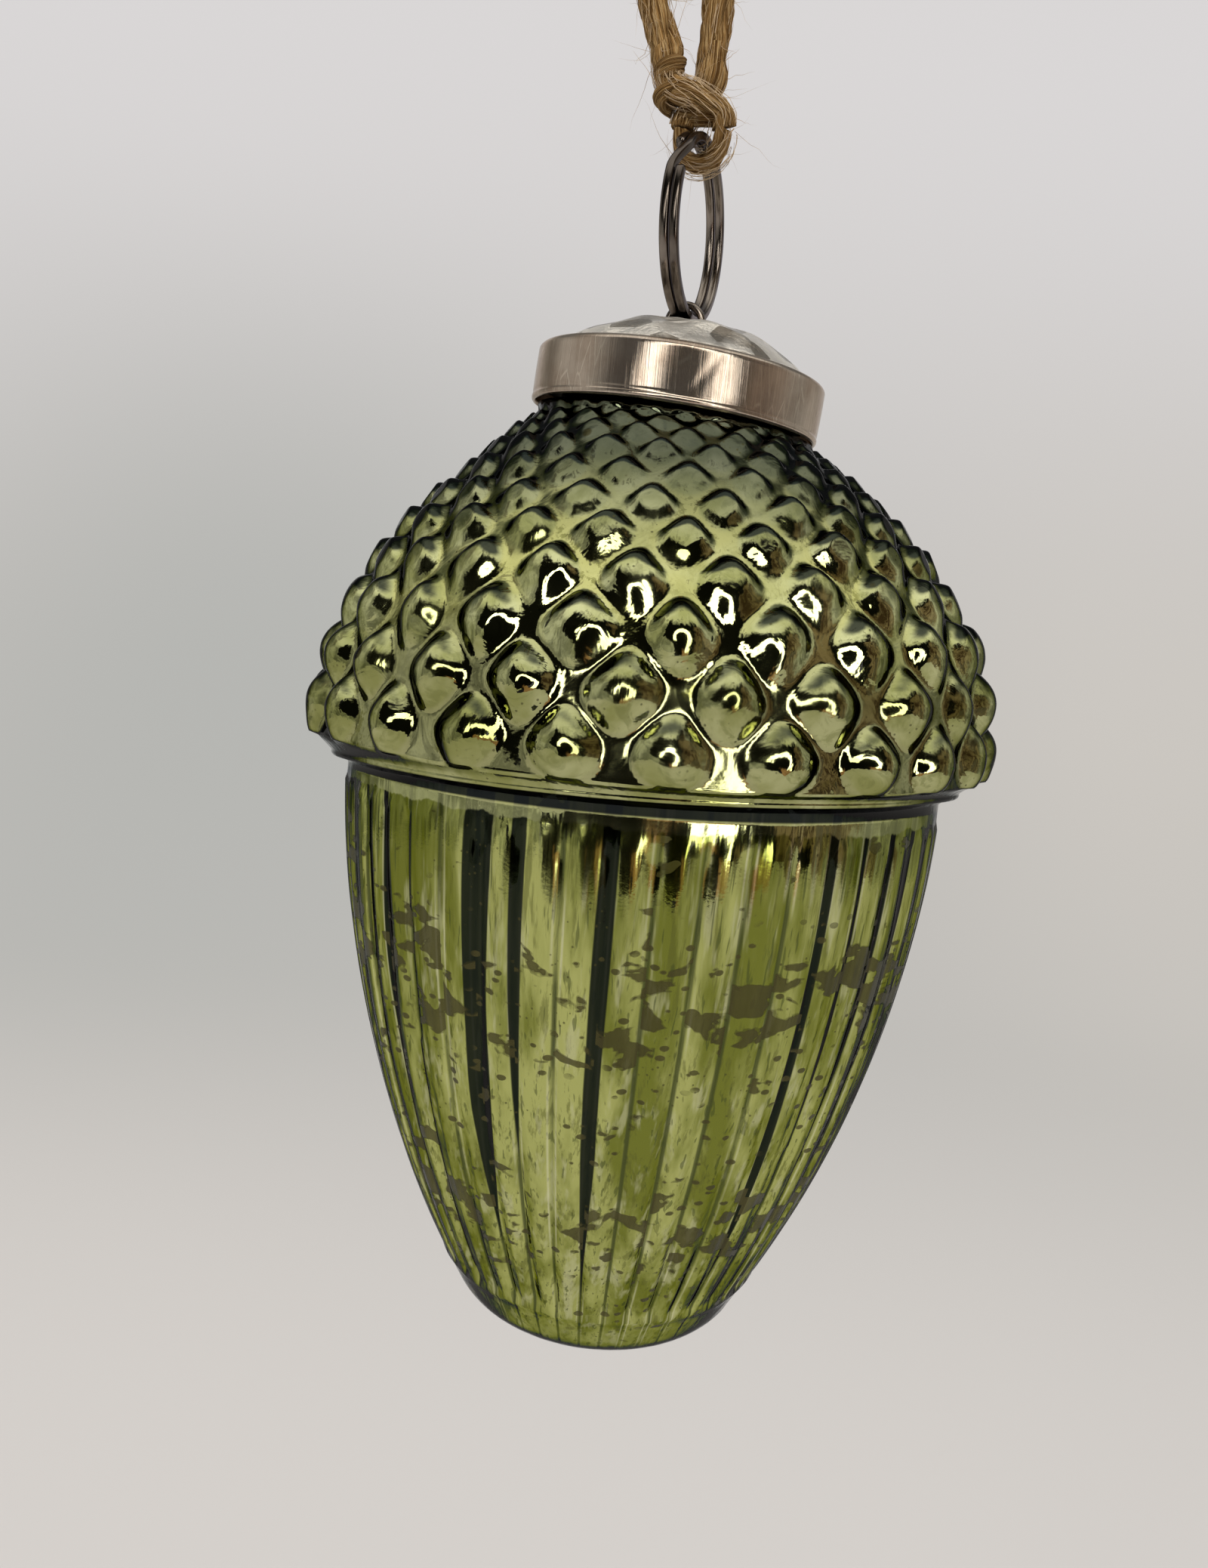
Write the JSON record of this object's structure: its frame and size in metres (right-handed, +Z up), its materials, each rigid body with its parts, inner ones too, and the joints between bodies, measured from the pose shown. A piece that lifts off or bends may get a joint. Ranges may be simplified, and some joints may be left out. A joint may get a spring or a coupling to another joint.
{
  "type": "christmas bauble",
  "caption": "Acorn-shaped bauble of silvered green glass with a metal cap and dome, hung by a wire eyelet and split ring from a knotted loop of jute twine.",
  "frame": {"origin": "the inside of the twine loop's crown, where a hook or a twig carries the ornament", "axes": "+Z up along the ornament's axis, +X to the viewer's right, -Y towards the viewer"},
  "size_m": [0.0752, 0.0752, 0.2065],
  "materials": {
    "silvered_glass": "green lacquered mercury glass, silvered inside, worn in spots",
    "nickel_band": "polished nickel, faintly pink",
    "tin_dome": "hammered, dull silver",
    "cement": "matt",
    "dark_steel": "gunmetal plated",
    "jute": "natural jute, twisted, hairy"
  },
  "bodies": {
    "twine": {"twine_loop": "jute", "twine_knot": "jute", "twine_hitch": "jute"},
    "ring": {"split_ring": "dark_steel"},
    "eyelet": {"wire_eyelet": "dark_steel"},
    "bauble": {"glass_shell": "silvered_glass", "cap_band": "nickel_band", "cap_dome": "tin_dome", "cap_cement": "cement"}
  },
  "joints": [
    {"name": "ring_in_twine", "type": "hinge", "parent": "twine", "child": "ring", "pos_m": [0, 0, -0.0715], "axis": [0.284, 0.9588, 0], "range_deg": [-90, 90]},
    {"name": "eyelet_round_ring", "type": "hinge", "parent": "ring", "child": "eyelet", "pos_m": [0, 0, -0.0805], "axis": [0.9588, -0.284, 0], "range_deg": [-110, 110]},
    {"name": "bauble_turn", "type": "hinge", "parent": "eyelet", "child": "bauble", "pos_m": [0, 0, -0.09035], "axis": [0, 0, 1], "continuous": true}
  ]
}
